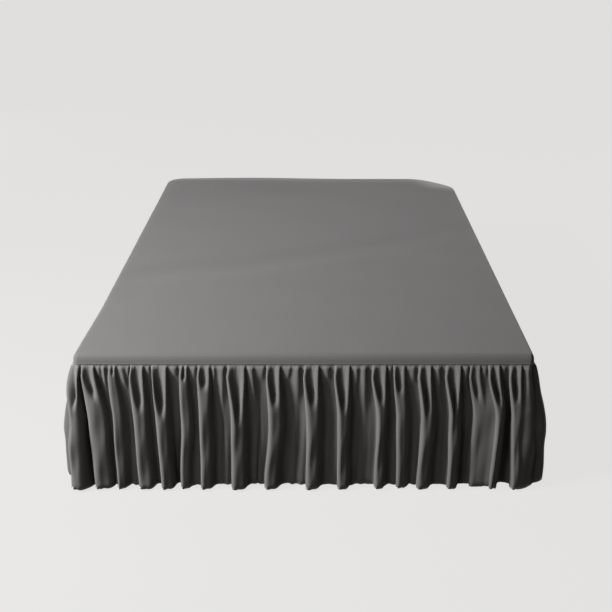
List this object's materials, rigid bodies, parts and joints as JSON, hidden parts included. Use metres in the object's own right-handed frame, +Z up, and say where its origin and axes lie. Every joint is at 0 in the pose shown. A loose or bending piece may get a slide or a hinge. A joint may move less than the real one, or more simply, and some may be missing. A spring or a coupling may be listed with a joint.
{
  "type": "gathered bed skirt on a bed base",
  "caption": "Gathered bed skirt with a platform panel, on a plain padded bed base with legs; hides the base and the space under the bed.",
  "frame": {"origin": "on the floor, under the middle of the bed", "axes": "+Z up, +Y from the foot of the bed to its head, +X to the right seen from the foot"},
  "size_m": [1.6414, 2.1058, 0.513],
  "materials": {
    "platform_cloth": "dark grey brushed microfibre",
    "skirt_cloth": "dark grey brushed microfibre",
    "base_ticking": "woven ticking",
    "leg_wood": "satin lacquer"
  },
  "bodies": {
    "root": {"deck": "platform_cloth", "ruffle_foot": "skirt_cloth", "ruffle_left": "skirt_cloth", "ruffle_right": "skirt_cloth", "bed_base": "base_ticking", "leg_foot_left": "leg_wood", "leg_foot_right": "leg_wood", "leg_head_left": "leg_wood", "leg_head_right": "leg_wood"}
  },
  "joints": []
}
